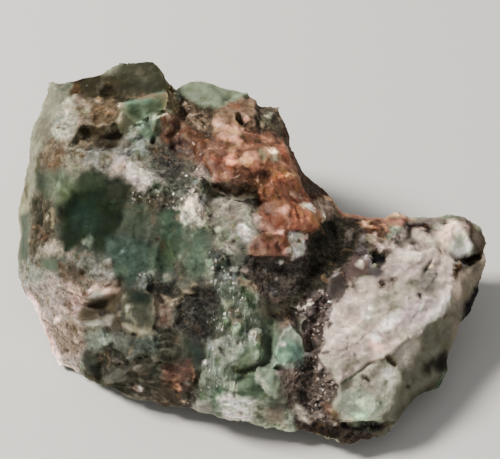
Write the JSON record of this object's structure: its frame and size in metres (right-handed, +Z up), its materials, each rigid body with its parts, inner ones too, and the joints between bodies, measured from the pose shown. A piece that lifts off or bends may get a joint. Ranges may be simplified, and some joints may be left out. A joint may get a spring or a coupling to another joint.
{
  "type": "rough chrysoprase",
  "caption": "Irregular lump of rough green chrysoprase with rust-stained and dark matrix, a pale lower lobe and broken, ledged faces; rests on its flattest break.",
  "frame": {"origin": "under the middle of the stone's extents, on the surface that it rests on", "axes": "+Z up, +X along its longest extent towards the pale lower lobe, -Y towards the side that faces an observer"},
  "size_m": [0.0978, 0.0782, 0.0415],
  "materials": {
    "chrysoprase": "rough broken mineral, glassy in places"
  },
  "bodies": {
    "root": {"stone": "chrysoprase"}
  },
  "joints": []
}
